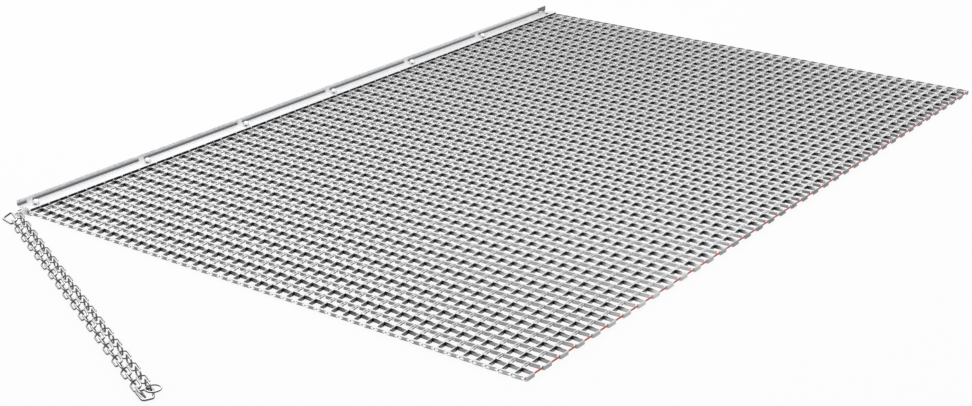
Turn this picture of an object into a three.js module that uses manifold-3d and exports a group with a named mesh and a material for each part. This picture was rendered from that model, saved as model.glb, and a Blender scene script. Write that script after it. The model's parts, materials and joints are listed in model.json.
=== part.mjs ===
// Flexible steel drag mat: a bolted drawbar, a hinged mat of edge-on strips and a two-strand tow chain.
// Millimetres. X runs along the drawbar, +Y is the direction of travel and +Z is up.
// The origin is the centre of the footprint, on the ground.

import * as THREE from 'three';
import { mergeVertices } from 'three/addons/utils/BufferGeometryUtils.js';
import Module from 'manifold-3d';

const wasm = await Module();
wasm.setup();

// Mat: square-wave strips on cross rods. A strip is one row, and a hinged panel holds several rows.
const wave_pitch = 47.75;
const wave_count = 38;
const end_wave_share = 0.3;
const row_pitch = 25.77;
const rows_first_panel = 2;
const rows_panel = 4;
const panel_count = 12;
const strip_height = 8;
const rod_diameter = 3;
const rod_clearance = 0.3;
const rod_sides = 8;
const mat_width = wave_pitch * (wave_count + end_wave_share);

// Net form of a panel: its bars weigh about as much as the strips of its rows.
const net_columns = 15;
const net_bar_width = 5;
const net_bar_narrow = 2.5;
const knuckle_width = 12;
const knuckle_wall = 1.2;
const swing_gap = 0.5;
const rear_knuckle_ribs = [0, 5, 10, 15];
const front_knuckle_ribs = [3, 12];

// Drawbar: a bent angle over the first strip and a flat clamp bar under it.
const flange_depth = 38;
const upright_height = 15;
const angle_thickness = 3;
const bend_radius = 3;
const bend_steps = 3;
const clamp_thickness = 3;
const rod_behind_flange = 3.5;

// Fasteners: flat-head bolts from below and domed cap nuts on top.
const bolt_count = 7;
const bolt_end_margin = 27.0125;
const bolt_behind_center = 6.5;
const bolt_diameter = 8;
const bolt_head_diameter = 14;
const bolt_clearance = 0.3;
const bolt_sides = 8;
const bolt_length_above_flange = 6.5;
const nut_across_flats = 13;
const nut_hex_height = 5.5;
const nut_dome_diameter = 12.4;
const nut_height = 10.5;
const nut_bore_depth = 7.5;
const dome_steps = 3;

// Lug: a plate welded to the left end of the angle, slotted so that the first link goes round its post.
const lug_reach = 20.8;
const lug_behind_center = 9.7;
const lug_thickness = 4;
const lug_post = 4;
const lug_web = 3;
const lug_slot_height = 4.8;
const lug_slot_start = 4;
const lug_clamp_gap = 0.3;
const lug_weld_depth = 4;

// Chain: straight links of round wire, laid beside the mat with one strand doubled back beside the other.
const chain_wire = 3;
const link_length = 26.86;
const link_width = 14.3;
const link_overlap = 0.5;
const joint_gap = 0.3;
const chain_heading_deg = 244.9;
const strand_spacing = 16.2;
const second_strand_tilt_deg = 38;
const strand_a_links = [5, 5, 5, 5, 5, 5, 4];
const strand_b_links = [5, 5, 5, 5, 5, 4, 4];
const wire_sides = 6;
const ring_points = 8;

// Rings: a pear ring that joins both strands, a round tow ring and the pear ring on the free end.
const master_wire = 4;
const master_length = 34;
const master_side_room = 6;
const master_tail_width = 18;
const master_tail_shift = 4.4;
const master_corner = 7;
const master_lift = 6;
const tow_wire = 3.2;
const tow_diameter = 25;
const tow_side = 3.5;
const tow_behind_start = 10.3;
const tow_points = 16;
const end_wire = 4;
const end_length = 42;
const end_near_width = 13;
const end_far_width = 21;
const end_corner = 6.5;
const end_tilt_deg = 26;
const end_turn_deg = 6;
const end_lift = 8;

const overrun = 2;

const galvanised = { color: 0xc9cccf, roughness: 0.42, metalness: 0.85 };
const zinc = { color: 0xdfe1e3, roughness: 0.32, metalness: 0.9 };
const wire_steel = { color: 0xa9acb0, roughness: 0.45, metalness: 0.9 };
const red_paint = { color: 0x9c2b30, roughness: 0.5, metalness: 0.3 };

const part = new THREE.Group();
const drawbar = new THREE.Group();
const mat = new THREE.Group();
const chain = new THREE.Group();
part.add(drawbar, mat, chain);

function addMesh(parent, name, geometry, look) {
  const mesh = new THREE.Mesh(geometry, new THREE.MeshStandardMaterial(look));
  mesh.name = name;
  parent.add(mesh);
  return mesh;
}

function solid(geometry) {
  const bare = geometry.clone();
  bare.deleteAttribute('normal');
  bare.deleteAttribute('uv');
  const merged = mergeVertices(bare);
  const vertProperties = new Float32Array(merged.attributes.position.array);
  const triVerts = new Uint32Array(merged.index.array);
  return new wasm.Manifold(new wasm.Mesh({ numProp: 3, vertProperties, triVerts }));
}

function surface(body) {
  const mesh = body.getMesh();
  const geometry = new THREE.BufferGeometry();
  geometry.setAttribute('position', new THREE.BufferAttribute(new Float32Array(mesh.vertProperties), 3));
  geometry.setIndex(new THREE.BufferAttribute(new Uint32Array(mesh.triVerts), 1));
  geometry.computeVertexNormals();
  return geometry;
}

// A block given by its lower and upper corners.
function block(low, high) {
  const size = high.map((value, axis) => value - low[axis]);
  const geometry = new THREE.BoxGeometry(...size);
  geometry.translate(...low.map((value, axis) => value + size[axis] / 2));
  return geometry;
}

// A round bar along X whose corners lie on the given radius.
function barAlongX(radius, length, sides, place) {
  const geometry = new THREE.CylinderGeometry(radius, radius, length, sides);
  geometry.rotateZ(Math.PI / 2);
  geometry.translate(...place);
  return geometry;
}

function postAlongZ(top_radius, foot_radius, low, high, x, y) {
  const geometry = new THREE.CylinderGeometry(top_radius, foot_radius, high - low, bolt_sides);
  geometry.rotateX(Math.PI / 2);
  geometry.translate(x, y, (low + high) / 2);
  return geometry;
}

// Levels and rows that the pieces share.
const strip_low = clamp_thickness;
const strip_mid = strip_low + strip_height / 2;
const flange_low = strip_low + strip_height;
const flange_top = flange_low + angle_thickness;
const first_rod_y = -flange_depth / 2 - rod_behind_flange;
const knuckle_tip = rod_diameter / 2 + rod_clearance + knuckle_wall;
const hinge_setback = Math.hypot(knuckle_tip, strip_height / 2) + swing_gap;
const rod_rows = [0];
for (let panel = 0; panel < panel_count; panel += 1) {
  const rows = panel === 0 ? rows_first_panel : rows_panel;
  rod_rows.push(rod_rows[panel] + rows);
}
const rodY = (line) => first_rod_y - rod_rows[line] * row_pitch;
const ribX = (rib) => {
  const half = knuckle_width / 2;
  return -mat_width / 2 + half + (rib * (mat_width - knuckle_width)) / net_columns;
};
const bolt_spacing = (mat_width - 2 * bolt_end_margin) / (bolt_count - 1);
const bolt_y = -bolt_behind_center;
const bolt_x = [];
for (let index = 0; index < bolt_count; index += 1) {
  bolt_x.push((index - (bolt_count - 1) / 2) * bolt_spacing);
}

// Angle: an L section with a rounded bend, drilled for the bolts, with the chain lug on its left end.
function angleProfile() {
  const front = flange_depth / 2;
  const outer = bend_radius + angle_thickness;
  const profile = new THREE.Shape();
  profile.moveTo(-front, flange_low);
  profile.lineTo(front - outer, flange_low);
  for (let step = 0; step <= bend_steps; step += 1) {
    const turn = (step / bend_steps) * (Math.PI / 2);
    profile.lineTo(front - outer + outer * Math.sin(turn), flange_low + outer - outer * Math.cos(turn));
  }
  profile.lineTo(front, flange_low + upright_height);
  profile.lineTo(front - angle_thickness, flange_low + upright_height);
  for (let step = bend_steps; step >= 0; step -= 1) {
    const turn = (step / bend_steps) * (Math.PI / 2);
    const y = front - outer + bend_radius * Math.sin(turn);
    profile.lineTo(y, flange_low + outer - bend_radius * Math.cos(turn));
  }
  profile.lineTo(-front, flange_top);
  return profile;
}

// The profile is drawn in Y and Z and swept along X.
function sweepAlongX(profile, low, high) {
  const geometry = new THREE.ExtrudeGeometry(profile, { depth: high - low, bevelEnabled: false });
  geometry.rotateX(Math.PI / 2);
  geometry.rotateZ(Math.PI / 2);
  geometry.translate(low, 0, 0);
  return geometry;
}

const ridge = (chain_wire / 2) * Math.cos(Math.PI / ring_points);
const chain_z = link_width / 2 + ridge;
const bar_end = -mat_width / 2;
const lug_front = -lug_behind_center + lug_thickness / 2;
const lug_rear = -lug_behind_center - lug_thickness / 2;
const slot_low = chain_z - lug_slot_height / 2;
const slot_high = chain_z + lug_slot_height / 2;
const lug_low = Math.max(slot_low - lug_web, strip_low + lug_clamp_gap);
const lug_high = slot_high + lug_web;
let angle_body = solid(sweepAlongX(angleProfile(), bar_end, -bar_end));
for (const x of bolt_x) {
  const hole = bolt_diameter / 2 + bolt_clearance;
  const cut = postAlongZ(hole, hole, flange_low - overrun, flange_top + overrun, x, bolt_y);
  angle_body = angle_body.subtract(solid(cut));
}
const lug_plate = solid(block(
  [bar_end - lug_reach - lug_post / 2, lug_rear, lug_low],
  [bar_end, lug_front, lug_high],
));
const lug_weld = solid(block(
  [bar_end - lug_slot_start / 2, lug_rear, flange_low + angle_thickness / 2],
  [bar_end + lug_weld_depth, lug_front, lug_high],
));
const lug_slot = solid(block(
  [bar_end - lug_reach + lug_post / 2, lug_rear - overrun, slot_low],
  [bar_end - lug_slot_start, lug_front + overrun, slot_high],
));
angle_body = angle_body.add(lug_plate).add(lug_weld).subtract(lug_slot);
addMesh(drawbar, 'drawbar_angle', surface(angle_body), galvanised);

// Clamp bar: flat, as deep as the flange, with a tapered hole for each bolt head.
const head_radius = bolt_head_diameter / 2;
const shank_radius = bolt_diameter / 2;
let clamp_body = solid(block(
  [-mat_width / 2, -flange_depth / 2, 0],
  [mat_width / 2, flange_depth / 2, clamp_thickness],
));
for (const x of bolt_x) {
  const slope = (head_radius - shank_radius) / clamp_thickness;
  const top = shank_radius + bolt_clearance - slope * overrun;
  const foot = head_radius + bolt_clearance + slope * overrun;
  const taper = solid(postAlongZ(top, foot, -overrun, clamp_thickness + overrun, x, bolt_y));
  const bore_radius = shank_radius + bolt_clearance;
  const bore = postAlongZ(bore_radius, bore_radius, -overrun, clamp_thickness + overrun, x, bolt_y);
  clamp_body = clamp_body.subtract(taper.add(solid(bore)));
}
addMesh(drawbar, 'clamp_bar', surface(clamp_body), galvanised);

// Bolt: flat tapered head flush with the clamp bar, plain shank up into the cap nut.
bolt_x.forEach((x, index) => {
  const profile = [
    new THREE.Vector2(0, 0),
    new THREE.Vector2(head_radius, 0),
    new THREE.Vector2(shank_radius, clamp_thickness),
    new THREE.Vector2(shank_radius, flange_top + bolt_length_above_flange),
    new THREE.Vector2(0, flange_top + bolt_length_above_flange),
  ];
  const bolt = new THREE.LatheGeometry(profile, bolt_sides);
  bolt.rotateX(Math.PI / 2);
  bolt.translate(x, bolt_y, 0);
  addMesh(drawbar, `plough_bolt_${index + 1}`, surface(solid(bolt)), zinc);
});

// Cap nut: hexagon with a dome and a blind bore that the bolt end fills.
bolt_x.forEach((x, index) => {
  const corner = nut_across_flats / 2 / Math.cos(Math.PI / 6);
  const hex = new THREE.CylinderGeometry(corner, corner, nut_hex_height, 6);
  hex.rotateX(Math.PI / 2);
  hex.translate(0, 0, nut_hex_height / 2);
  const dome_radius = nut_dome_diameter / 2;
  const dome_rise = nut_height - nut_hex_height;
  const profile = [new THREE.Vector2(0, nut_hex_height / 2), new THREE.Vector2(dome_radius, nut_hex_height / 2)];
  for (let step = 0; step <= dome_steps; step += 1) {
    const turn = (step / dome_steps) * (Math.PI / 2);
    const radius = step === dome_steps ? 0 : dome_radius * Math.cos(turn);
    profile.push(new THREE.Vector2(radius, nut_hex_height + dome_rise * Math.sin(turn)));
  }
  const dome = new THREE.LatheGeometry(profile, bolt_sides);
  dome.rotateX(Math.PI / 2);
  const bore_radius = shank_radius + bolt_clearance;
  const bore = postAlongZ(bore_radius, bore_radius, -overrun, nut_bore_depth, 0, 0);
  const nut = surface(solid(hex).add(solid(dome)).subtract(solid(bore)));
  nut.translate(x, bolt_y, flange_top);
  addMesh(drawbar, `cap_nut_${index + 1}`, nut, zinc);
});

// Net of bars between two Y positions: a flat block with a row of openings.
function net(front_y, rear_y, bar_width) {
  const half = mat_width / 2;
  const top = strip_low + strip_height;
  let body = solid(block([-half, rear_y, strip_low], [half, front_y, top]));
  const rib_step = (mat_width - bar_width) / net_columns;
  for (let column = 0; column < net_columns; column += 1) {
    const left = -half + bar_width + column * rib_step;
    const right = left + rib_step - bar_width;
    const opening = block(
      [left, rear_y + bar_width, strip_low - overrun],
      [right, front_y - bar_width, top + overrun],
    );
    body = body.subtract(solid(opening));
  }
  return body;
}

// Knuckle: a short eye that reaches from the net's bar round the rod at rod_y.
function knuckle(rib, bar_y, rod_y, bar_width) {
  const x = ribX(rib);
  const tip_y = rod_y + Math.sign(rod_y - bar_y) * knuckle_tip;
  const root_y = bar_y - Math.sign(rod_y - bar_y) * (bar_width / 2);
  return solid(block(
    [x - knuckle_width / 2, Math.min(tip_y, root_y), strip_low],
    [x + knuckle_width / 2, Math.max(tip_y, root_y), strip_low + strip_height],
  ));
}

// Bore round a rod whose flats keep the clearance.
function rodBore(rod_y) {
  const radius = (rod_diameter / 2 + rod_clearance) / Math.cos(Math.PI / rod_sides);
  return solid(barAlongX(radius, mat_width + 2 * overrun, rod_sides, [0, rod_y, strip_mid]));
}

// First strip, held between the angle and the clamp bar. Its openings let the bolts through.
const strip_front_y = first_rod_y + row_pitch + knuckle_tip;
const strip_rear_y = first_rod_y + hinge_setback;
let strip_body = net(strip_front_y, strip_rear_y, net_bar_narrow);
for (const rib of rear_knuckle_ribs) {
  strip_body = strip_body.add(knuckle(rib, strip_rear_y, first_rod_y, net_bar_narrow));
}
strip_body = strip_body.subtract(rodBore(first_rod_y));
addMesh(mat, 'front_strip', surface(strip_body), galvanised);

// Hinged panels from the drawbar to the trailing edge, with a rod in front of each.
for (let panel = 0; panel < panel_count; panel += 1) {
  const label = String(panel + 1).padStart(2, '0');
  const front_rod = rodY(panel);
  const rear_rod = rodY(panel + 1);
  const front_y = front_rod - hinge_setback;
  const rear_y = rear_rod + hinge_setback;
  const bar_width = panel === 0 ? net_bar_narrow : net_bar_width;
  let body = net(front_y, rear_y, bar_width);
  for (const rib of front_knuckle_ribs) {
    body = body.add(knuckle(rib, front_y, front_rod, bar_width));
  }
  for (const rib of rear_knuckle_ribs) {
    body = body.add(knuckle(rib, rear_y, rear_rod, bar_width));
  }
  body = body.subtract(rodBore(front_rod)).subtract(rodBore(rear_rod));
  addMesh(mat, `mat_panel_${label}`, surface(body), galvanised);
  const rod = barAlongX(rod_diameter / 2, mat_width, rod_sides, [0, front_rod, strip_mid]);
  addMesh(mat, `hinge_rod_${label}`, surface(solid(rod)), wire_steel);
}
const last_rod = barAlongX(rod_diameter / 2, mat_width, rod_sides, [0, rodY(panel_count), strip_mid]);
addMesh(mat, 'trailing_rod', surface(solid(last_rod)), red_paint);

// Closed ring of round wire with eight corners, long in Y, with its own width at each end.
// The end at positive Y can be set to one side.
function wireRing(corner, wire, length, start_width, end_width, end_shift) {
  const share = Math.cos(Math.PI / ring_points);
  const geometry = new THREE.TorusGeometry(corner, wire / 2, wire_sides, ring_points);
  geometry.rotateZ(Math.PI / ring_points);
  const place = geometry.attributes.position;
  for (let index = 0; index < place.count; index += 1) {
    const x = place.getX(index);
    const y = place.getY(index);
    const width = y < 0 ? start_width : end_width;
    const shift = y < 0 ? 0 : end_shift;
    place.setX(index, x + Math.sign(x) * (width / 2 - corner * share) + shift);
    place.setY(index, y + Math.sign(y) * (length / 2 - corner * share));
  }
  return geometry;
}

const fused_step = link_length - 2 * ridge + link_overlap;
const hinge_step = link_length - 2 * ridge - joint_gap;
const link_corner = link_width / 2 / Math.cos(Math.PI / ring_points);

// One stretch of a strand: links turned in turn by a quarter about the strand's own line.
function stretch(count, start_center, first_turn) {
  let body = null;
  for (let index = 0; index < count; index += 1) {
    const link = wireRing(link_corner, chain_wire, link_length, link_width, link_width, 0);
    link.rotateY(first_turn + ((index % 2) * Math.PI) / 2);
    link.translate(0, start_center + index * fused_step, 0);
    const piece = solid(link);
    body = body === null ? piece : body.add(piece);
  }
  return surface(body);
}

// Chain frame: +Y runs along the strands, +X away from the mat, and the first link hooks round the post.
const heading = THREE.MathUtils.degToRad(chain_heading_deg);
const run = new THREE.Vector2(Math.cos(heading), Math.sin(heading));
const post_reach = (lug_post * Math.abs(run.x) + lug_thickness * Math.abs(run.y)) / 2;
const root = new THREE.Vector2(bar_end - lug_reach, -lug_behind_center);
root.addScaledVector(run, -(post_reach + ridge + joint_gap));
chain.position.set(root.x, root.y, 0);
chain.rotation.z = heading - Math.PI / 2;

// Strand A starts flat in the lug.
let center_a = link_length / 2;
let turned = 0;
strand_a_links.forEach((count, index) => {
  const links = stretch(count, center_a, (turned % 2) * (Math.PI / 2));
  const mesh = addMesh(chain, `strand_a_${index + 1}`, links, wire_steel);
  mesh.position.set(0, 0, chain_z);
  center_a += (count - 1) * fused_step + hinge_step;
  turned += count;
});

// Strand B starts upright in the free end ring, leans, and ends beside strand A in the master ring.
const lean = THREE.MathUtils.degToRad(second_strand_tilt_deg);
const strand_b_z = (link_width / 2) * Math.max(Math.cos(lean), Math.sin(lean)) + chain_wire / 2;
const total_b = strand_b_links.reduce((sum, count) => sum + count, 0);
const length_b = (total_b - strand_b_links.length) * fused_step + (strand_b_links.length - 1) * hinge_step;
const last_center_a = center_a - hinge_step;
let center_b = last_center_a + fused_step / 2 - length_b;
const first_center_b = center_b;
turned = 1;
strand_b_links.forEach((count, index) => {
  const links = stretch(count, center_b, (turned % 2) * (Math.PI / 2));
  const mesh = addMesh(chain, `strand_b_${index + 1}`, links, wire_steel);
  mesh.position.set(strand_spacing, 0, strand_b_z);
  mesh.rotation.y = lean;
  center_b += (count - 1) * fused_step + hinge_step;
  turned += count;
});

// Master ring: its wide end passes inside the last link of both strands.
const master_half = strand_spacing / 2 + master_side_room;
const master_ridge = (master_wire / 2) * Math.cos(Math.PI / ring_points);
const last_center_b = center_b - hinge_step;
const master_start = last_center_b - fused_step + link_length / 2 + ridge + joint_gap + master_ridge;
const master = wireRing(
  master_corner, master_wire, master_length, 2 * master_half, master_tail_width, master_tail_shift,
);
const master_mesh = addMesh(chain, 'master_ring', surface(solid(master)), wire_steel);
master_mesh.position.set(strand_spacing / 2, master_start + master_length / 2, master_lift);

// Tow ring: round, passes through the last link of strand A and lies on the master ring.
const tow = new THREE.TorusGeometry(tow_diameter / 2, tow_wire / 2, wire_sides, tow_points);
const tow_mesh = addMesh(chain, 'tow_ring', surface(solid(tow)), wire_steel);
const tow_lift = master_lift + (master_wire + tow_wire) / 2 + joint_gap;
tow_mesh.position.set(-tow_side, master_start + tow_behind_start, tow_lift);

// End ring of strand B: narrow where the strand hangs in it and wide at its free end.
const end_ring = wireRing(end_corner, end_wire, end_length, end_far_width, end_near_width, 0);
const end_mesh = addMesh(chain, 'end_ring', surface(solid(end_ring)), wire_steel);
const end_ridge = (end_wire / 2) * Math.cos(Math.PI / ring_points);
const end_turn = THREE.MathUtils.degToRad(end_turn_deg);
const end_hook = first_center_b - link_length / 2 + ridge + joint_gap + end_ridge;
end_mesh.position.set(
  strand_spacing + (end_length / 2) * Math.sin(end_turn),
  end_hook - (end_length / 2) * Math.cos(end_turn),
  end_lift,
);
end_mesh.rotation.set(0, THREE.MathUtils.degToRad(end_tilt_deg), end_turn, 'ZXY');

// The footprint's centre is put over the origin.
part.updateMatrixWorld(true);
const footprint = new THREE.Box3().setFromObject(part, true);
const middle = footprint.getCenter(new THREE.Vector3());
part.position.set(-middle.x, -middle.y, -footprint.min.z);

export default part;
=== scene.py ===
import json
import math

import bmesh
import bpy
from mathutils import Matrix, Vector


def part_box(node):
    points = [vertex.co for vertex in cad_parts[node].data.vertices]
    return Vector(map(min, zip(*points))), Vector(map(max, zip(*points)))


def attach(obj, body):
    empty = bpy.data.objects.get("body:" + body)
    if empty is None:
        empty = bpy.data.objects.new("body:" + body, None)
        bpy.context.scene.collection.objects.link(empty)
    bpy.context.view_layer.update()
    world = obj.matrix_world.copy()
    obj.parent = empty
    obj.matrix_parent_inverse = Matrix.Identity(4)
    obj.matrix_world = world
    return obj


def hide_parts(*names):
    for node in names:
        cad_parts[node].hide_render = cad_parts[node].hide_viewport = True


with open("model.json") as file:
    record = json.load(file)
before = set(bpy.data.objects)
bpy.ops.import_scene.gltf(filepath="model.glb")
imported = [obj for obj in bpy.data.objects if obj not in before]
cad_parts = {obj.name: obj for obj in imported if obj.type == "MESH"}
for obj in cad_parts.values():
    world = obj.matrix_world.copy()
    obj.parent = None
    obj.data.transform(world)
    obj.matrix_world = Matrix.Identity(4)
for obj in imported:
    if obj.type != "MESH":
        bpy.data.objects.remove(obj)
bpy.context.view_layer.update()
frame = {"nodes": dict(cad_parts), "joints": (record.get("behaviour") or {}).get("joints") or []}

# Camera: at a standing person's height behind the left corner of the mat, looking
# along its diagonal.
camera_place, camera_turn_degrees = (-2.6420, -1.9680, 1.2364), (68.445, 0.075, -53.610)
lens = bpy.data.cameras.new("camera")
lens.lens = 62.318
lens.sensor_width = 36.0
lens.shift_x = -0.0041
lens.clip_end = 40.0
camera = bpy.data.objects.new("camera", lens)
camera.location = camera_place
camera.rotation_euler = [math.radians(turn) for turn in camera_turn_degrees]
bpy.context.scene.collection.objects.link(camera)
bpy.context.scene.camera = camera
bpy.context.scene.view_settings.view_transform = "Standard"


# Studio: a white floor that keeps only a faint shadow, an even pale sky and one wide
# lamp high over the mat.
class Wire:
    """A socket of a node tree that takes ordinary arithmetic."""

    def __init__(self, graph, socket):
        self.graph = graph
        self.socket = socket

    def __add__(self, other):
        return self.graph.maths("ADD", self, other)

    def __sub__(self, other):
        return self.graph.maths("SUBTRACT", self, other)

    def __rsub__(self, other):
        return self.graph.maths("SUBTRACT", other, self)

    def __mul__(self, other):
        return self.graph.maths("MULTIPLY", self, other)

    def __truediv__(self, other):
        return self.graph.maths("DIVIDE", self, other)

    def __mod__(self, other):
        return self.graph.maths("MODULO", self, other)

    def floor(self):
        return self.graph.maths("FLOOR", self)

    def size(self):
        return self.graph.maths("ABSOLUTE", self)

    def least(self, other):
        return self.graph.maths("MINIMUM", self, other)

    def most(self, *others):
        top = self
        for other in others:
            top = self.graph.maths("MAXIMUM", top, other)
        return top

    def rise(self, low, high):
        """0 below low, 1 above high and smooth between them."""
        settings = {"interpolation_type": "SMOOTHSTEP"}
        sockets = {"Value": self, "From Min": low, "From Max": high}
        return self.graph.add("ShaderNodeMapRange", settings, sockets)

    def fall(self, low, high):
        """1 below low, 0 above high and smooth between them."""
        return 1.0 - self.rise(low, high)

    __radd__ = __add__
    __rmul__ = __mul__


class Graph:
    """A node tree that is written as expressions."""

    def __init__(self, tree):
        self.tree = tree

    def add(self, kind, settings=None, sockets=None, out=0):
        node = self.tree.nodes.new(kind)
        for name, value in (settings or {}).items():
            setattr(node, name, value)
        for name, value in (sockets or {}).items():
            if isinstance(value, Wire):
                self.tree.links.new(value.socket, node.inputs[name])
            else:
                node.inputs[name].default_value = value
        return Wire(self, node.outputs[out]) if len(node.outputs) else None

    def maths(self, operation, *values):
        return self.add("ShaderNodeMath", {"operation": operation}, dict(enumerate(values)))


def seen_white(owner, white_share):
    """A cleared tree, and how far camera, mirror and glass rays see plain white in it."""
    owner.use_nodes = True
    graph = Graph(owner.node_tree)
    graph.tree.nodes.clear()
    rays = graph.add("ShaderNodeLightPath", out="Is Camera Ray")
    rays = rays + graph.add("ShaderNodeLightPath", out="Is Glossy Ray")
    rays = rays + graph.add("ShaderNodeLightPath", out="Is Transmission Ray")
    return graph, rays.least(1.0) * white_share


plain_white = (1.0, 1.0, 1.0, 1.0)
studio = bpy.data.worlds.new("studio")
bpy.context.scene.world = studio
graph, share = seen_white(studio, 1.0)
sky = graph.add("ShaderNodeBackground", None, {"Color": (0.78, 0.78, 0.79, 1.0)})
white = graph.add("ShaderNodeBackground", None, {"Color": plain_white})
mixed = graph.add("ShaderNodeMixShader", None, {0: share, 1: sky, 2: white})
graph.add("ShaderNodeOutputWorld", None, {"Surface": mixed})

floor_half = 30.0
floor_mesh = bpy.data.meshes.new("floor")
floor_corners = [(x * floor_half, y * floor_half, 0) for x, y in ((-1, -1), (1, -1), (1, 1), (-1, 1))]
floor_mesh.from_pydata(floor_corners, [], [(0, 1, 2, 3)])
floor = bpy.data.objects.new("floor", floor_mesh)
bpy.context.scene.collection.objects.link(floor)
floor_paint = bpy.data.materials.new("white floor")
graph, share = seen_white(floor_paint, 0.9)
matt = graph.add("ShaderNodeBsdfDiffuse", None, {"Color": (0.86, 0.86, 0.86, 1.0)})
glow = graph.add("ShaderNodeEmission", None, {"Color": plain_white})
mixed = graph.add("ShaderNodeMixShader", None, {0: share, 1: matt, 2: glow})
graph.add("ShaderNodeOutputMaterial", None, {"Surface": mixed})
floor_mesh.materials.append(floor_paint)

lamp_place, lamp_tilt_degrees = (0.6, 1.3, 3.0), (-22.0, 6.0, 0.0)
lamp = bpy.data.lights.new("overhead", "AREA")
lamp.shape = "RECTANGLE"
lamp.size = 3.4
lamp.size_y = 2.6
lamp.energy = 34.0
overhead = bpy.data.objects.new("overhead", lamp)
overhead.location = lamp_place
overhead.rotation_euler = [math.radians(turn) for turn in lamp_tilt_degrees]
bpy.context.scene.collection.objects.link(overhead)


# Angle bar: 3 mm galvanised strip steel folded to an L, with the flange to the rear and
# the short leg up at the front. It lies on the first row of the mat. Its colour has painted
# shade in the bend, a painted glint opposite each nut and a painted dark patch at its right end.
def metal(name, colour, metallic, roughness):
    """A material with plain values, and its tree and shader for what varies."""
    paint = bpy.data.materials.new(name)
    paint.use_nodes = True
    graph = Graph(paint.node_tree)
    shader = paint.node_tree.nodes["Principled BSDF"]
    shader.inputs["Base Color"].default_value = (*colour, 1.0)
    shader.inputs["Metallic"].default_value = metallic
    shader.inputs["Roughness"].default_value = roughness
    return paint, graph, shader


def feed(graph, shader, name, wire):
    graph.tree.links.new(wire.socket, shader.inputs[name])


def blotches(graph, scale, detail=3.0, stretch=(1.0, 1.0, 1.0)):
    """Noise in the piece's own metres, from 0 to 1."""
    place = graph.add("ShaderNodeTexCoord", out="Object")
    place = graph.add("ShaderNodeMapping", None, {"Vector": place, "Scale": stretch})
    sockets = {"Vector": place, "Scale": scale, "Detail": detail, "Roughness": 0.55}
    return graph.add("ShaderNodeTexNoise", None, sockets)


def own_place(graph):
    """The piece's own X, Y and Z in metres."""
    place = graph.add("ShaderNodeTexCoord", out="Object")
    apart = graph.add("ShaderNodeSeparateXYZ", None, {"Vector": place}).socket.node
    return [Wire(graph, output) for output in apart.outputs]


def blend(graph, mask, low, high):
    """The colour low where the mask is 0 and high where it is 1. Either can be a wire."""
    low, high = [each if isinstance(each, Wire) else (*each, 1.0) for each in (low, high)]
    settings = {"data_type": "RGBA"}
    return graph.add("ShaderNodeMix", settings, {0: mask, 6: low, 7: high}, out=2)


def bumps(graph, shader, height, depth, strength):
    sockets = {"Height": height, "Distance": depth, "Strength": strength}
    feed(graph, shader, "Normal", graph.add("ShaderNodeBump", None, sockets))


def from_nearest(place, first, spacing):
    """How far a place is from the nearest of evenly spaced things."""
    return (place - (first - spacing / 2)) % spacing - spacing / 2


clamp_low, clamp_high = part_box("clamp_bar")
left, right = clamp_low.x, clamp_high.x
bar_y = (clamp_low.y + clamp_high.y) / 2
flange_z, sheet_thickness, flange_half = 0.011, 0.003, 0.019
flange_edge = bar_y - flange_half
row_pitch, wave, strip_thickness, strip_height, nesting = 0.02577, 0.04775, 0.0014, 0.008, 0.0009
edge_room = nesting + strip_thickness / 2
nut_low, nut_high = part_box("cap_nut_1")
bolt_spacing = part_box("cap_nut_2")[0].x - nut_low.x
first_bolt = (nut_low.x + nut_high.x) / 2

# Where each mark on the bar begins and ends, in metres. Its rear edge is painted black as
# shade between the legs of the first strip.
top_face = (0.01395, 0.01405)
fold_shade_starts, fold_shade_ends = (0.01405, 0.0144), (0.0152, 0.0238)
glint_shift, glint_ends = 0.002, (0.005, 0.009)
under_edge, rear_edge = (0.0133, 0.0138), (flange_edge + 0.0004, flange_edge + 0.0008)
gap_starts, gap_ends = (0.0006, 0.0012), (wave - 0.0036, wave - 0.0030)
beside_middle_leg = (0.0004, 0.0008)
dark_patch_across, dark_patch_up = (right - 0.040, right - 0.034), (0.0160, 0.0172)
sky_starts, painted_light_starts = (0.0185, 0.0245), (bar_y + 0.001, bar_y + 0.011)

galvanised, graph, shader = metal("bright galvanised steel", (0.84, 0.845, 0.85), 0.25, 0.34)
grain_place = {"Vector": graph.add("ShaderNodeTexCoord", out="Object"), "Scale": 160.0}
grain = graph.add("ShaderNodeTexVoronoi", None, grain_place, out="Color")
spangle = graph.add("ShaderNodeSeparateXYZ", None, {"Vector": grain}, out="X")
clouds = blotches(graph, 14.0)
tone = (spangle * 0.35 + clouds * 0.65).rise(0.15, 0.85)
x, y, height = own_place(graph)
# Painted highlight: a glint opposite each nut, where the painted shade of the bend is left out.
glint = from_nearest(x, first_bolt + glint_shift, bolt_spacing).size().fall(*glint_ends)
# Painted shade in the bend and up the lower part of the leg.
fold_shade = height.rise(*fold_shade_starts) * height.fall(*fold_shade_ends) * (1.0 - glint)
in_wave = (x - (left + edge_room)) % wave
between_legs = in_wave.rise(*gap_starts) * in_wave.fall(*gap_ends)
between_legs = between_legs * (in_wave - wave / 2).size().rise(*beside_middle_leg)
# Painted shade: the lower part of the flange's rear edge is black between the strip's legs.
shaded_edge = height.fall(*under_edge) * y.fall(*rear_edge) * between_legs
# A painted dark patch on the upper part of the leg at the right end.
end_dark_patch = x.rise(*dark_patch_across) * height.rise(*dark_patch_up)
sky_side = height.rise(*sky_starts) * (1.0 - end_dark_patch)
# Painted light: the flange's top is white next to the bend.
painted_light_by_fold = y.rise(*painted_light_starts) * height.fall(*top_face)
colour = blend(graph, tone, (0.80, 0.805, 0.81), (0.90, 0.905, 0.91))
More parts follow.
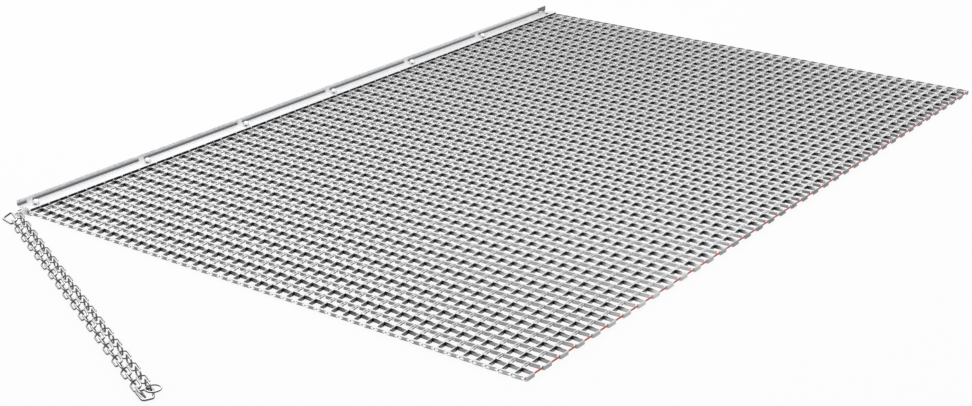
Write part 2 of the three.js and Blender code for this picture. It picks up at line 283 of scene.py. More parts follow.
# Painted light beside the bend, painted shade in the bend, the painted dark patch and the rear edge's
# painted shade.
colour = blend(graph, painted_light_by_fold, colour, (1.0, 1.0, 1.0))
colour = blend(graph, fold_shade.most(end_dark_patch), colour, (0.12, 0.12, 0.125))
colour = blend(graph, shaded_edge, colour, (0.01, 0.01, 0.01))
feed(graph, shader, "Base Color", colour)
shader.inputs["Specular IOR Level"].default_value = 0.4
feed(graph, shader, "Metallic", sky_side * 0.6 + (1.0 - shaded_edge.most(painted_light_by_fold, end_dark_patch)) * 0.25)
feed(graph, shader, "Roughness", 0.26 + spangle * 0.12 + clouds * 0.1)
bumps(graph, shader, blotches(graph, 90.0, 2.0), 0.0002, 0.25)


def piece(name, mesh, body, smooth=35.0):
    """Puts a finished mesh on its body, round where its faces meet at less than smooth."""
    thing = bpy.data.objects.new(name, mesh)
    bpy.context.scene.collection.objects.link(thing)
    mesh.polygons.foreach_set("use_smooth", [True] * len(mesh.polygons))
    mesh.set_sharp_from_angle(angle=math.radians(smooth))
    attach(thing, body)
    return thing


def softened(mesh, width):
    """The mesh with its sharp edges broken."""
    holder = bpy.data.objects.new("edges", mesh)
    bpy.context.scene.collection.objects.link(holder)
    bevel = holder.modifiers.new("edges", "BEVEL")
    bevel.width = width
    bevel.segments = 2
    bevel.limit_method = "ANGLE"
    bevel.angle_limit = math.radians(40.0)
    bpy.context.view_layer.update()
    seen = holder.evaluated_get(bpy.context.evaluated_depsgraph_get())
    done = bpy.data.meshes.new_from_object(seen)
    bpy.data.objects.remove(holder)
    return done


def skin(shape, rings):
    """Faces between each ring of points and the one after it."""
    for ring, following in zip(rings, rings[1:]):
        for step in range(len(ring)):
            onward = (step + 1) % len(ring)
            shape.faces.new((ring[step], ring[onward], following[onward], following[step]))


def mesh_from(shape, name):
    """The mesh of a finished shape, with its faces turned outward."""
    bmesh.ops.recalc_face_normals(shape, faces=shape.faces)
    mesh = bpy.data.meshes.new(name)
    shape.to_mesh(mesh)
    shape.free()
    return mesh


def swept(name, outline, start, end):
    """A closed outline in Y and Z, carried along X."""
    shape = bmesh.new()
    rings = [[shape.verts.new((x, y, z)) for y, z in outline] for x in (start, end)]
    skin(shape, rings)
    for ring in rings:
        shape.faces.new(ring)
    return mesh_from(shape, name)


leg_height, inner_bend, bend_steps, broken_edge = 0.015, 0.003, 10, 0.00035
leg_top = flange_z + leg_height
outer_bend = inner_bend + sheet_thickness
bar_front = bar_y + flange_half
bend_y, bend_z = bar_front - outer_bend, flange_z + outer_bend
turns = [math.radians(90.0 * step / bend_steps) for step in range(bend_steps + 1)]
arcs = [
    [(bend_y + bend * math.sin(turn), bend_z - bend * math.cos(turn)) for turn in turns]
    for bend in (outer_bend, inner_bend)
]
outline = [(flange_edge, flange_z), *arcs[0], (bar_front, leg_top)]
outline += [(bar_front - sheet_thickness, leg_top), *reversed(arcs[1])]
outline += [(flange_edge, flange_z + sheet_thickness)]
angle_mesh = softened(swept("angle_bar", outline, left, right), broken_edge)
angle_mesh.materials.append(galvanised)
angle_bar = piece("angle_bar", angle_mesh, "drawbar", 60.0)
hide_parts("drawbar_angle")


# Chain lug: a slotted 4 mm plate welded to the bar's left end, with a bead of weld on
# both sides. The first link goes round its outer post.
def rounded(corners, radius, steps):
    """The corners of a flat outline, each turned into an arc."""
    path = []
    for here, corner in enumerate(corners):
        corner = Vector(corner)
        before = (Vector(corners[here - 1]) - corner).normalized()
        after = (Vector(corners[(here + 1) % len(corners)]) - corner).normalized()
        half = before.angle(after) / 2
        back = radius / math.tan(half)
        centre = corner + (before + after).normalized() * (radius / math.sin(half))
        start = corner + before * back - centre
        end = corner + after * back - centre
        for step in range(steps + 1):
            spoke = start.slerp(end, step / steps).normalized() * radius
            path.append(centre + spoke)
    return path


lug_reach, lug_post, lug_behind, lug_thickness, lug_in_bar = 0.0208, 0.004, 0.0097, 0.004, 0.0005
slot_middle, slot_half, slot_web, slot_start = 0.008536, 0.0024, 0.003, 0.004
plate_corner, slot_corner, corner_steps, above_clamp_bar = 0.0012, 0.001, 4, 0.0033
lug_low = max(slot_middle - slot_half - slot_web, above_clamp_bar)
lug_high = slot_middle + slot_half + slot_web


def upright(start, end, low, high):
    """The corners of an upright rectangle."""
    return [(start, low, 0), (end, low, 0), (end, high, 0), (start, high, 0)]


post_x = left - lug_reach
plate = upright(post_x - lug_post / 2, left + lug_in_bar, lug_low, lug_high)
opening = upright(
    post_x + lug_post / 2, left - slot_start, slot_middle - slot_half, slot_middle + slot_half
)
plate_edge = rounded(plate, plate_corner, corner_steps)
slot_edge = rounded(opening, slot_corner, corner_steps)
shape = bmesh.new()
lug_y = bar_y - lug_behind
rings = []
for edge, side in ((plate_edge, -1), (plate_edge, 1), (slot_edge, 1), (slot_edge, -1)):
    y = lug_y + side * lug_thickness / 2
    rings.append([shape.verts.new((point.x, y, point.y)) for point in edge])
skin(shape, rings + rings[:1])
lug_mesh = softened(mesh_from(shape, "chain_lug"), 0.0003)
lug_mesh.materials.append(galvanised)
chain_lug = piece("chain_lug", lug_mesh, "drawbar")
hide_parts("drawbar_angle")

beads, bead_size, bead_step = 5, (0.0011, 0.0010, 0.0008, 1.0), 0.0008
bead_x, bead_y, bead_z = left + 0.0002, lug_thickness / 2 + 0.0004, 0.0112
shape = bmesh.new()
for side in (-1, 1):
    for step in range(beads):
        place = Vector((bead_x, lug_y + side * bead_y, bead_z + step * bead_step))
        turned = Matrix.Translation(place) @ Matrix.Diagonal(bead_size)
        bmesh.ops.create_icosphere(shape, subdivisions=2, radius=1.0, matrix=turned)
bead_mesh = mesh_from(shape, "lug_weld")
bead_mesh.materials.append(galvanised)
piece("lug_weld", bead_mesh, "drawbar")


# Clamp bar: flat galvanised bar under the first row, drawn up by the seven bolts. Its dull
# zinc is painted near black as the shade under the flange, and the sawn left end is bright.
shade_dark_steel, graph, shader = metal("galvanised steel painted dark as shade", (0.3, 0.3, 0.31), 0.3, 0.5)
sawn_end = (left + 0.0003, left + 0.0006)
scale = blotches(graph, 40.0, 4.0)
# Painted shade: the bar is near black in random blotches, as in the shade under the flange.
colour = blend(graph, scale, (0.02, 0.02, 0.021), (0.04, 0.04, 0.042))
colour = blend(graph, own_place(graph)[0].fall(*sawn_end), colour, (0.8, 0.8, 0.81))
feed(graph, shader, "Base Color", colour)
feed(graph, shader, "Roughness", 0.4 + scale * 0.25)
frame["nodes"]["clamp_bar"].material_slots[0].material = shade_dark_steel


# Bolts and cap nuts: zinc plated M8. The flat heads sit flush in the clamp bar, and a
# domed nut closes each thread on top of the flange. The flat toward the rear left is
# painted dark as shade.
zinc, graph, shader = metal("zinc plate", (0.86, 0.865, 0.87), 0.85, 0.22)
bolts, bolt_y = 7, (nut_low.y + nut_high.y) / 2
flat_starts, flat_ends, flat_sides = (0.0144, 0.0150), (0.0172, 0.0184), (0.0028, 0.0036)
clouds = blotches(graph, 260.0)
x, y, height = own_place(graph)
from_nut = from_nearest(x, first_bolt, bolt_spacing)
across = (from_nut * 0.6 - (y - bolt_y) * 0.8).size()
# Painted shade on the flat toward the rear left.
painted_flat_shade = height.rise(*flat_starts) * height.fall(*flat_ends) * across.fall(*flat_sides)
colour = blend(graph, clouds, (0.84, 0.84, 0.85), (0.95, 0.95, 0.96))
feed(graph, shader, "Base Color", blend(graph, painted_flat_shade, colour, (0.2, 0.2, 0.205)))
feed(graph, shader, "Roughness", 0.16 + clouds * 0.14)
for number in range(1, bolts + 1):
    frame["nodes"][f"plough_bolt_{number}"].material_slots[0].material = zinc


def new_tree(name, inputs):
    """A geometry tree with named inputs, and a wire for each of them."""
    tree = bpy.data.node_groups.new(name, "GeometryNodeTree")
    for label, kind in inputs.items():
        tree.interface.new_socket(name=label, in_out="INPUT", socket_type="NodeSocket" + kind)
    tree.interface.new_socket(name="Geometry", in_out="OUTPUT", socket_type="NodeSocketGeometry")
    graph = Graph(tree)
    source = tree.nodes.new("NodeGroupInput")
    return graph, {label: Wire(graph, source.outputs[label]) for label in inputs}


def in_a_line(graph, model, count, first, step, turn=(0.0, 0.0, 0.0)):
    """Copies of a model: how many, where the first is and the way to the next."""
    sockets = {"Count": count, "Start Location": first, "Offset": step}
    places = graph.add("GeometryNodeMeshLine", None, sockets)
    sockets = {"Points": places, "Instance": model, "Rotation": turn}
    return graph.add("GeometryNodeInstanceOnPoints", None, sockets)


def close_tree(graph, shape, finish):
    real = graph.add("GeometryNodeRealizeInstances", None, {"Geometry": shape})
    dressed = graph.add("GeometryNodeSetMaterial", None, {"Geometry": real, "Material": finish})
    graph.add("NodeGroupOutput", None, {"Geometry": dressed})
    return graph.tree


def grown(name, tree, values):
    """The plain mesh that a tree gives for these values."""
    holder = bpy.data.objects.new(name, bpy.data.meshes.new(name))
    bpy.context.scene.collection.objects.link(holder)
    modifier = holder.modifiers.new("made", "NODES")
    modifier.node_group = tree
    for item in tree.interface.items_tree:
        if item.in_out == "INPUT":
            modifier[item.identifier] = values[item.name]
    bpy.context.view_layer.update()
    seen = holder.evaluated_get(bpy.context.evaluated_depsgraph_get())
    mesh = bpy.data.meshes.new_from_object(seen)
    mesh.name = name
    holder.modifiers.clear()
    bpy.data.objects.remove(holder)
    return mesh


nut_half_flats, nut_hex_height, nut_height, dome_radius = 0.0065, 0.0055, 0.0105, 0.0062
foot_share, foot_height, shoulder_drop, collar_share, collar_height = 0.97, 0.0004, 0.0008, 1.04, 0.0006
nut_steps, dome_steps = 24, 8
shape = bmesh.new()
levels = [(0.0, "hex", foot_share), (foot_height, "hex", 1.0)]
levels += [(nut_hex_height - shoulder_drop, "hex", 1.0), (nut_hex_height, "round", collar_share)]
dome_z = nut_hex_height + collar_height
for step in range(dome_steps):
    turn = math.radians(90.0 * step / dome_steps)
    levels.append((dome_z + (nut_height - dome_z) * math.sin(turn), "round", math.cos(turn)))
rings = []
for z, kind, share in levels:
    ring = []
    for step in range(nut_steps):
        angle = 2 * math.pi * step / nut_steps
        from_flat = (angle + math.pi / 6) % (math.pi / 3) - math.pi / 6
        radius = nut_half_flats / math.cos(from_flat) if kind == "hex" else dome_radius
        radius *= share
        ring.append(shape.verts.new((radius * math.sin(angle), radius * math.cos(angle), z)))
    rings.append(ring)
skin(shape, rings)
tip = shape.verts.new((0, 0, nut_height))
for step in range(nut_steps):
    shape.faces.new((rings[-1][step], rings[-1][(step + 1) % nut_steps], tip))
shape.faces.new(list(reversed(rings[0])))
nut_model = bpy.data.objects.new("cap_nut", mesh_from(shape, "cap_nut"))

nut_inputs = {
    "Nut": "Object",
    "Nuts": "Int",
    "First Place": "Vector",
    "Spacing": "Vector",
    "Finish": "Material",
}
graph, given = new_tree("row of cap nuts", nut_inputs)
model = graph.add("GeometryNodeObjectInfo", None, {"Object": given["Nut"]}, out="Geometry")
nuts = in_a_line(graph, model, given["Nuts"], given["First Place"], given["Spacing"])
nut_tree = close_tree(graph, nuts, given["Finish"])
first_nut_x = (left + right) / 2 - (bolts - 1) // 2 * bolt_spacing
nut_values = {
    "Nut": nut_model,
    "Nuts": bolts,
    "First Place": (first_nut_x, bolt_y, flange_z + sheet_thickness),
    "Spacing": (bolt_spacing, 0.0, 0.0),
    "Finish": zinc,
}
cap_nuts = piece("cap_nuts", grown("cap_nuts", nut_tree, nut_values), "drawbar", 40.0)
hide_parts(*[f"cap_nut_{number}" for number in range(1, bolts + 1)])
bpy.data.objects.remove(nut_model)


# Mat rows: galvanised strip on edge, bent to a square wave and hooked round two rods, its
# loops beside those of the next row. It has painted shade where loops nest and painted
# highlights on its rim, and its faces are painted paler on the right and far parts of the mat.
rod_low, rod_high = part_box("hinge_rod_01")
first_rod = (rod_low.y + rod_high.y) / 2
middle = (rod_low.z + rod_high.z) / 2
rod_radius = (rod_high.z - rod_low.z) / 2
rim_z = middle + strip_height / 2
foot_z = rim_z - strip_height
outer_face = 0.003
loop_reach = outer_face - strip_thickness / 2
panel_rows = [2] + [4] * 11
trailing_y = first_rod - sum(panel_rows) * row_pitch


def about(place, before, after):
    """The limits of a mask that changes beside a place."""
    return place + before, place + after


# The left, right and far parts of the mat get different amounts of painted light and shade.
# The amounts change between lines across the mat, each given by its X where Y is 0 and its slope.
left_line, middle_line, right_line = (-0.4772, 1.1), (0.3100, 1.5), (1.2940, 2.0)
far_x, far_y, far_starts = 0.805, 0.593, (-0.7938, 0.0062)
# Across a row, backward from a rod: the loop behind it, the legs, the loop at the next.
loop_starts, loop_ends, leg_starts = (0.0012, 0.0016), (0.0031, 0.0040), (0.0016, 0.0022)
next_loop, next_corner = about(row_pitch, -0.0030, -0.0026), about(row_pitch, -0.0055, -0.0035)
leg_dark_ends, leg_pale_ends = (0.006, 0.016), (0.013, 0.020)
leg_shade, leg_shade_shining = 0.008, 0.016
rod_band, rod_eye, far_end_starts = (0.0040, 0.0052), (0.0065, 0.0085), (0.007, 0.009)
# Along a wave, from its left leg.
past_corner, leg_half, leg_width = (-0.002, -0.001), (0.0030, 0.0036), (0.0016, 0.0020)
loop_dark_ends, loop_shade_ends, loop_pale_ends = (0.003, 0.013), (0.016, 0.023), (0.015, 0.022)
far_from_leg, front_loop_ends, corner_starts = (0.018, 0.019), (0.036, 0.040), (0.0445, 0.0455)
front_loop_starts = about(wave / 2, 0.001, 0.002)
# Up the strip.
upper_half, under_the_rim = about(rim_z, -0.0048, -0.0036), about(rim_z, -0.0034, -0.0022)
rim_band, pale_rim, slot_rim = (
    about(rim_z, -0.0013, -0.0009),
    about(rim_z, -0.0022, -0.0016),
    about(rim_z, -0.0026, -0.0020),
)
foot_band, edge_foot = about(foot_z, 0.0008, 0.0016), about(foot_z, 0.0010, 0.0020)
wider_rim, wider_pale_rim, wider_rod_band = 0.0009, 0.0006, 0.0010
# At the mat's edges, at its trailing rod and under the flange.
left_edge, right_edge = about(left, 0.002, 0.003), about(right, -0.0040, -0.0030)
tail, tab_ends = about(trailing_y, -0.001, 0.002), about(trailing_y, -0.0016, -0.0012)
slot_starts, flange_line = about(flange_edge, -0.0026, -0.0022), about(flange_edge, -0.0002, 0.0002)

strip_steel, graph, shader = metal("galvanised strip", (0.75, 0.75, 0.76), 0.1, 0.4)
x, y, z = own_place(graph)
in_wave = (x - (left + edge_room - wave)) % wave
in_row = (first_rod - y + row_pitch) % row_pitch
along_loop = (wave / 2 - in_wave).least(right - edge_room - x)
along_leg = in_row - outer_face
from_rod = row_pitch / 2 - (in_row - row_pitch / 2).size()
from_leg = wave / 4 - ((in_wave % (wave / 2)) - wave / 4).size()

line_places = [y * slope + start for start, slope in (left_line, middle_line, right_line)]
left_side = x.fall(line_places[0], line_places[1])
right_side = x.rise(line_places[1], line_places[2])
far_side = (x * far_x + y * far_y).rise(*far_starts)
shining = right_side.most(far_side)

last_leg = x.rise(*right_edge)
on_loop = in_row.rise(*loop_starts) * in_row.fall(*loop_ends) * along_loop.rise(*past_corner)
on_leg = along_loop.size().fall(*leg_half).most(last_leg) * in_row.rise(*leg_starts)
under_rim = z.rise(*under_the_rim)
# Painted shade on loops and legs where two rows nest, deepest next to the corners.
painted_loop_shade = z.rise(*upper_half) * along_loop.fall(*loop_shade_ends) * (1.0 - left_side * 0.25)
painted_loop_shade = painted_loop_shade.most(along_loop.fall(*loop_dark_ends))
painted_wide_shade = (left_side * 0.7).most(right_side * 0.88, far_side * 0.78)
painted_loop_shade = painted_loop_shade.most(painted_wide_shade * along_loop.fall(*loop_pale_ends))
painted_leg_shade = under_rim * along_leg.fall(*leg_dark_ends)
painted_leg_shade = painted_leg_shade.most(along_leg.fall(0.0, shining * leg_shade_shining + leg_shade))
painted_leg_shade = painted_leg_shade.most(left_side * 0.7 * along_leg.fall(*leg_pale_ends))
nest = (on_loop * painted_loop_shade).most(on_leg * painted_leg_shade) * y.rise(*tail)

off_leg = along_loop.size().rise(*far_from_leg) * far_side.most(left_side)
# Painted light: a pale band under the rim and along each rod, away from the legs.
painted_light_band = (z - shining * wider_pale_rim).rise(*pale_rim)
painted_light_band = painted_light_band.most((from_rod + shining * wider_rod_band).fall(*rod_band)) * off_leg
edge = x.fall(*left_edge)
edge_line = edge * under_rim.most(z.fall(*edge_foot))
# Painted shade: black in the gap under the flange's rear edge, between the legs.
painted_slot_shade = y.rise(*slot_starts) * from_leg.rise(*leg_width) * z.rise(*slot_rim)
painted_slot_shade = painted_slot_shade.most(y.rise(*flange_line)) * (1.0 - edge)
# Painted shade on the outer faces of the last loops at the trailing edge.
painted_tab_shade = y.fall(*tab_ends) * shining.most(0.35)
# Dark lines under the rim, along the foot and at the left end.
lines = (under_rim * 0.35).most(z.fall(*foot_band) * 0.4, edge_line * 0.5)
# All painted shade and the dark lines together, with painted shade in the loop middles away from the
# legs.
painted_shade_and_lines = nest.most(lines, off_leg * (shining * 0.3 + 0.45), painted_slot_shade, painted_tab_shade * 0.75)

# Painted highlights on the rim, on the loop at the next rod and its corner, on the left end by each rod
# and on the last leg.
rim = (z + shining * wider_rim).rise(*rim_band)
front_loop = in_row.rise(*next_loop) * in_wave.fall(*front_loop_ends)
front_loop = front_loop * in_wave.rise(*front_loop_starts)
loop_corner = in_row.rise(*next_corner) * in_wave.rise(*corner_starts)
edge_eye = edge * from_rod.fall(*rod_eye) * (1.0 - edge_line)
far_end = last_leg * along_leg.rise(*far_end_starts)
# Painted sheen on the right and far parts, wherever no painted shade lies.
painted_sheen = shining * nest.most(off_leg).fall(0.0, 0.25)
# All painted highlights, left out under the flange and at the trailing edge.
painted_highlight = rim.most(front_loop, loop_corner, edge_eye, painted_light_band, far_end, painted_sheen) * (1.0 - painted_slot_shade.most(painted_tab_shade))

streaks = blotches(graph, 30.0, 4.0)
colour = blend(graph, streaks.rise(0.3, 0.7), (0.52, 0.525, 0.53), (0.64, 0.643, 0.648))
# Painted light: faces paler on the right and far parts of the mat.
colour = blend(graph, shining * 0.9, colour, (0.97, 0.975, 0.98))
colour = blend(graph, painted_shade_and_lines, colour, (0.012, 0.012, 0.012))
feed(graph, shader, "Base Color", blend(graph, painted_highlight, colour, (0.95, 0.95, 0.96)))
feed(graph, shader, "Metallic", painted_highlight * 0.95)
shader.inputs["Specular IOR Level"].default_value = 0.2
feed(graph, shader, "Roughness", (streaks * 0.2 + 0.3) * (1.0 - painted_highlight * 0.6))

strip_inputs = {
    "Rows": "Int",
    "Corners": "Int",
    "First Rod": "Float",
    "Row Pitch": "Float",
    "Left": "Float",
    "Half Wave": "Float",
    "Width": "Float",
    "Loop Reach": "Float",
    "Nesting": "Float",
    "Strip": "Float",
    "Strip Height": "Float",
    "Middle": "Float",
    "Corner": "Float",
    "Finish": "Material",
}


def vector(graph, **parts):
    return graph.add("ShaderNodeCombineXYZ", None, parts)


def fillet(graph, path, steps, radius):
    sockets = {"Curve": path, "Count": steps, "Radius": radius}
    return graph.add("GeometryNodeFilletCurve", {"mode": "POLY"}, sockets)


def rectangle(graph, width, height):
    sockets = {"Width": width, "Height": height}
    return graph.add("GeometryNodeCurvePrimitiveQuadrilateral", {"mode": "RECTANGLE"}, sockets)


def sweep(graph, path, section, capped):
    """A section carried along a path."""
    sockets = {"Curve": path, "Profile Curve": section, "Fill Caps": capped}
    return graph.add("GeometryNodeCurveToMesh", None, sockets)


graph, given = new_tree("rows of square wave", strip_inputs)
index = graph.add("GeometryNodeInputIndex")
leg = (index / 2.0).floor()
front = ((index + 3.0) % 4.0 / 2.0).floor()
inward = (1.0 - leg % 2.0 * 2.0) * (1.0 - front * 2.0)
along = given["Left"] + (leg * given["Half Wave"]).least(given["Width"]) + inward * given["Nesting"]
across = front * (given["Row Pitch"] + given["Loop Reach"] * 2.0) - given["Loop Reach"]
spot = vector(graph, X=along, Y=across)
corners = graph.add("GeometryNodeMeshLine", None, {"Count": given["Corners"]})
corners = graph.add("GeometryNodeSetPosition", None, {"Geometry": corners, "Position": spot})
path = graph.add("GeometryNodeMeshToCurve", None, {"Mesh": corners})
path = fillet(graph, path, 3, given["Corner"])
path = graph.add("GeometryNodeSetCurveNormal", {"mode": "Z_UP"}, {"Curve": path})
section = rectangle(graph, given["Strip"], given["Strip Height"])
strip = sweep(graph, path, section, True)
start = vector(graph, Y=given["First Rod"], Z=given["Middle"])
offset = vector(graph, Y=given["Row Pitch"] * -1.0)
rows = in_a_line(graph, strip, given["Rows"], start, offset)
strip_tree = close_tree(graph, rows, given["Finish"])

strip_length = right - left - 2 * edge_room
legs = math.ceil(strip_length / (wave / 2)) + 1
strip_values = {
    "Corners": 2 * legs,
    "Row Pitch": row_pitch,
    "Left": left + edge_room,
    "Half Wave": wave / 2,
    "Width": strip_length,
    "Loop Reach": loop_reach,
    "Nesting": nesting,
    "Strip": strip_thickness,
    "Strip Height": strip_height,
    "Middle": middle,
    "Corner": 0.0016,
    "Finish": strip_steel,
}
mat_bodies = [("drawbar", "front_strip", 0, 1)]
row = 1
for number, count in enumerate(panel_rows, 1):
    mat_bodies.append((f"mat_{number:02d}", f"mat_panel_{number:02d}", row, count))
    row += count
for body, node, row, count in mat_bodies:
    values = {**strip_values, "Rows": count, "First Rod": first_rod - row * row_pitch}
    mesh = grown(f"rows_of_{node}", strip_tree, values)
    rows = piece(f"rows_of_{node}", mesh, body, 50.0)
    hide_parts(node)


# Cross rods: drawn 3 mm wire, one on each line of loops, with a painted highlight along the
# top and where a loop is open, and dark where two nest. The one at the trailing edge is painted red.
def rod_metal(name, low, high, highlight_from, open_shine):
    """Wire with a painted highlight along its top, and by open_shine between the nests."""
    paint, graph, shader = metal(name, high, 0.0, 0.32)
    nest_starts = (0.034, 0.037)
    drawing = blotches(graph, 220.0, 2.0, (0.05, 1.0, 1.0))
    x, y, height = own_place(graph)
    # Painted highlight along the top of the rod, and by open_shine where a loop is open.
    rod_highlight = height.rise(*about(middle + highlight_from, 0.0, 0.0003))
    in_wave = (x - (left + edge_room - wave)) % wave
    rod_highlight = rod_highlight.most(in_wave.fall(*nest_starts) * open_shine)
    colour = blend(graph, drawing, low, high)
    feed(graph, shader, "Metallic", rod_highlight * 0.9)
    feed(graph, shader, "Base Color", blend(graph, rod_highlight, colour, (0.92, 0.92, 0.93)))
    feed(graph, shader, "Roughness", 0.24 + drawing * 0.16)
    return paint


rod_steel = rod_metal("drawn wire", (0.05, 0.05, 0.052), (0.10, 0.10, 0.102), 0.0008, 1.0)
red = rod_metal("red paint", (0.40, 0.02, 0.016), (0.50, 0.03, 0.025), 0.0014, 0.0)

rod_inputs = {
    "Rods": "Int",
    "First Rod": "Vector",
    "Pitch": "Vector",
    "Length": "Vector",
    "Radius": "Float",
    "Finish": "Material",
}


def circle(graph, sides, radius):
    sockets = {"Resolution": sides, "Radius": radius}
    return graph.add("GeometryNodeCurvePrimitiveCircle", None, sockets)


rod_sides = 14
graph, given = new_tree("cross rods", rod_inputs)
line = graph.add("GeometryNodeCurvePrimitiveLine", None, {"End": given["Length"]})
rod = sweep(graph, line, circle(graph, rod_sides, given["Radius"]), True)
rods = in_a_line(graph, rod, given["Rods"], given["First Rod"], given["Pitch"])
rod_tree = close_tree(graph, rods, given["Finish"])
for number, (body, node, row, count) in enumerate(mat_bodies):
    trailing = number == len(mat_bodies) - 1
    values = {
        "Rods": count - 1 if trailing else count,
        "First Rod": (left, first_rod - row * row_pitch, middle),
        "Pitch": (0.0, -row_pitch, 0.0),
        "Length": (right - left, 0.0, 0.0),
        "Radius": rod_radius,
        "Finish": rod_steel,
    }
    rods = piece(f"rods_of_{body}", grown(f"rods_of_{body}", rod_tree, values), body)
    if not trailing:
        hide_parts(f"hinge_rod_{number + 1:02d}")
values["Rods"] = 1
values["First Rod"] = (left, trailing_y, middle)
values["Finish"] = red
red_rod = piece("red_rod", grown("red_rod", rod_tree, values), "mat_12")
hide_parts("trailing_rod")


# Chain: electrically welded links of 3 mm zinc plated wire. Strand A runs from the lug
# to the rings, and strand B lies back along it, leaning over on its side.
def wire_metal(name, low, high):
    """Plated wire with a painted highlight where the mesh's own upward attribute is high."""
    paint, graph, shader = metal(name, high, 0.5, 0.3)
    wire_highlight_starts = (0.68, 0.92)
    clouds = blotches(graph, 130.0)
    upward = graph.add("ShaderNodeAttribute", {"attribute_name": "upward"}, out="Fac")
    # Painted highlight on the tops of the wires, from each point's normal at rest.
    wire_highlight = upward.rise(*wire_highlight_starts)
    colour = blend(graph, clouds, low, high)
    feed(graph, shader, "Base Color", blend(graph, wire_highlight, colour, (0.93, 0.93, 0.94)))
    feed(graph, shader, "Metallic", wire_highlight * 0.7 + 0.2)
    feed(graph, shader, "Roughness", 0.2 + clouds * 0.14)
    return paint


def with_upward(mesh):
    """The mesh with the height of each point's normal kept on it."""
    kept = mesh.attributes.new("upward", "FLOAT", "POINT")
    kept.data.foreach_set("value", [point.normal.z for point in mesh.vertices])
    return mesh


chain_steel = wire_metal("chain wire", (0.09, 0.09, 0.092), (0.15, 0.15, 0.152))

link_inputs = {
    "Links": "Int",
    "First Centre": "Float",
    "Step": "Float",
    "Link Length": "Float",
    "Link Width": "Float",
    "Wire": "Float",
    "Corner": "Float",
    "First Turn": "Float",
    "Lean": "Vector",
    "Beside": "Vector",
    "Heading": "Vector",
    "Start": "Vector",
    "Finish": "Material",
}
link_corner_steps, link_sides = 5, 10
graph, given = new_tree("stretch of chain", link_inputs)
path = rectangle(graph, given["Link Width"], given["Link Length"])
path = fillet(graph, path, link_corner_steps, given["Corner"])
link = sweep(graph, path, circle(graph, link_sides, given["Wire"] / 2.0), False)
start, offset = vector(graph, Y=given["First Centre"]), vector(graph, Y=given["Step"])
index = graph.add("GeometryNodeInputIndex")
turn = vector(graph, Y=(index + given["First Turn"]) % 2.0 * (math.pi / 2))
links = in_a_line(graph, link, given["Links"], start, offset, turn)
for rotation, translation in (("Lean", "Beside"), ("Heading", "Start")):
    sockets = {"Rotation": given[rotation], "Translation": given[translation]}
    links = graph.add("GeometryNodeTransform", None, {"Geometry": links, **sockets})
link_tree = close_tree(graph, links, given["Finish"])

# Wires touch where the solids' eight-sided wires do. Links of one stretch overlap by
# fused_play, and a hinge has a gap.
wire, link_length, link_width = 0.003, 0.02686, 0.0143
eight_sided, fused_play, gap = math.cos(math.radians(22.5)), 0.0005, 0.0003
contact = wire * eight_sided
fused_step = link_length - contact + fused_play
hinge_step = link_length - contact - gap
heading = math.radians(244.9)
run = Vector((math.cos(heading), math.sin(heading), 0.0))
post = next(joint for joint in frame["joints"] if joint["name"] == "a1_yaw")["pos_m"]
chain_start = Vector((post[0], post[1], 0.0))
chain_start -= run * (lug_post / 2 * (abs(run.x) + abs(run.y)) + contact / 2 + gap)
strand_a_z = (link_width + wire) / 2
strand_b_lean = math.radians(38.0)
strand_b_z = link_width / 2 * math.cos(strand_b_lean) + wire / 2
link_values = {
    "Step": fused_step,
    "Link Length": link_length,
    "Link Width": link_width,
    "Wire": wire,
    "Corner": 0.0048,
    "Heading": (0.0, 0.0, heading - math.pi / 2),
    "Start": tuple(chain_start),
    "Finish": chain_steel,
}


def strand(letter, counts, centre, turned, lean, beside):
    """Makes every stretch of a strand and gives the centre of its last link."""
    for number, count in enumerate(counts, 1):
        name = f"strand_{letter}_{number}"
        values = {
            **link_values,
            "Links": count,
            "First Centre": centre,
            "First Turn": float(turned % 2),
            "Lean": (0.0, lean, 0.0),
            "Beside": beside,
        }
        mesh = with_upward(grown(name, link_tree, values))
        stretch = piece(f"links_of_{name}", mesh, f"chain_{letter}_{number}")
        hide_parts(name)
        centre += (count - 1) * fused_step + hinge_step
        turned += count
    return centre - hinge_step


spacing = 0.0162
counts_a, counts_b = [5, 5, 5, 5, 5, 5, 4], [5, 5, 5, 5, 5, 4, 4]
last_a = strand("a", counts_a, link_length / 2, 0, 0.0, (0.0, 0.0, strand_a_z))
length_b = (sum(counts_b) - len(counts_b)) * fused_step + (len(counts_b) - 1) * hinge_step
first_b = last_a + fused_step / 2 - length_b
last_b = strand("b", counts_b, first_b, 1, strand_b_lean, (spacing, 0.0, strand_b_z))


# Rings: thicker dark wire, bent and butt welded. The rounded triangle joins both strands,
# the round ring lies on it, and the pear ring is on the free end.
# Ring wire has the same painted highlight on its tops as the chain wire.
ring_steel = wire_metal("ring wire", (0.06, 0.06, 0.062), (0.10, 0.10, 0.102))


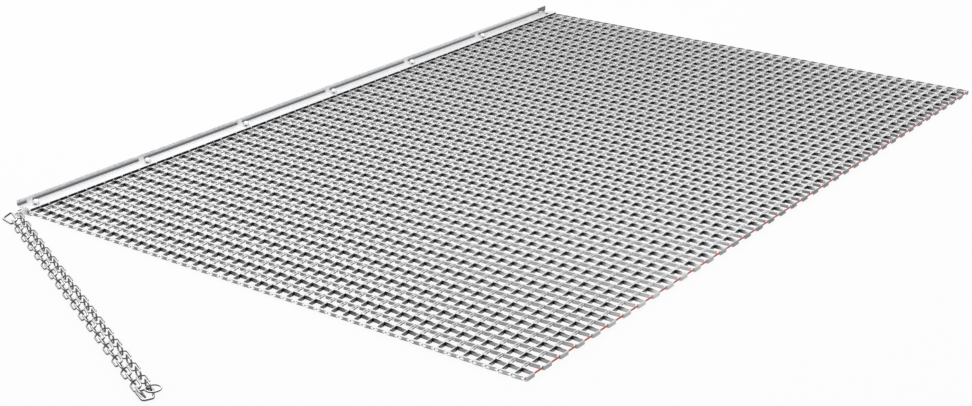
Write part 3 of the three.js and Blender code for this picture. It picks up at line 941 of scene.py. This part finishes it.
def bent_wire(name, path, radius, place, tilt, turn):
    """Round wire along a closed path, tilted and turned in the chain's own frame."""
    sides, count = 12, len(path)
    shape = bmesh.new()
    rings = []
    for here in range(count):
        ahead = (path[(here + 1) % count] - path[here - 1]).normalized()
        outward = ahead.cross(Vector((0, 0, 1)))
        ring = []
        for side in range(sides):
            angle = 2 * math.pi * side / sides
            spoke = outward * math.cos(angle) + Vector((0, 0, math.sin(angle)))
            ring.append(shape.verts.new(path[here] + spoke * radius))
        rings.append(ring)
    skin(shape, rings + rings[:1])
    mesh = mesh_from(shape, name)
    local = Matrix.Translation(place) @ Matrix.Rotation(turn, 4, "Z") @ Matrix.Rotation(tilt, 4, "Y")
    laid = Matrix.Translation(chain_start) @ Matrix.Rotation(heading - math.pi / 2, 4, "Z")
    mesh.transform(laid @ local)
    mesh.materials.append(ring_steel)
    return with_upward(mesh)


ring_wire, ring_corner, ring_corner_steps = 0.004, 0.0055, 8
ring_ridge = ring_wire / 2 * eight_sided
master_start = last_b - fused_step + link_length / 2 + contact / 2 + gap + ring_ridge
master_half, master_z = spacing / 2 + 0.006, 0.006
tip_half, tip_aside, tip_ahead = 0.009, 0.0044, 0.034
triangle = [(-master_half, 0.0, 0), (master_half, 0.0, 0)]
triangle += [(side * tip_half + tip_aside, tip_ahead, 0) for side in (1, -1)]
path = rounded(triangle, ring_corner, ring_corner_steps)
place = Vector((spacing / 2, master_start, master_z))
mesh = bent_wire("triangle_ring", path, ring_wire / 2, place, 0.0, 0.0)
triangle_ring = piece("triangle_ring", mesh, "master")
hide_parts("master_ring")

tow_wire, tow_radius, tow_steps, tow_aside, tow_ahead = 0.0032, 0.0125, 48, -0.0035, 0.0103
turns = [2 * math.pi * step / tow_steps for step in range(tow_steps)]
path = [Vector((math.cos(turn), math.sin(turn), 0)) * tow_radius for turn in turns]
tow_z = master_z + (ring_wire + tow_wire) / 2 + gap
place = Vector((tow_aside, master_start + tow_ahead, tow_z))
mesh = bent_wire("round_ring", path, tow_wire / 2, place, 0.0, 0.0)
round_ring = piece("round_ring", mesh, "tow")
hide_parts("tow_ring")

pear_wide, pear_narrow, pear_half, pear_z = 0.0105, 0.0065, 0.021, 0.008
pear_lean, pear_turn = math.radians(26.0), math.radians(6.0)
pear = [(-pear_wide, -pear_half, 0), (pear_wide, -pear_half, 0)]
pear += [(pear_narrow, pear_half, 0), (-pear_narrow, pear_half, 0)]
path = rounded(pear, ring_corner, ring_corner_steps)
pear_hook = first_b - link_length / 2 + contact / 2 + gap + ring_ridge
pear_x = spacing + pear_half * math.sin(pear_turn)
pear_y = pear_hook - pear_half * math.cos(pear_turn)
place = Vector((pear_x, pear_y, pear_z))
mesh = bent_wire("pear_ring", path, ring_wire / 2, place, pear_lean, pear_turn)
pear_ring = piece("pear_ring", mesh, "free_end")
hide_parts("end_ring")
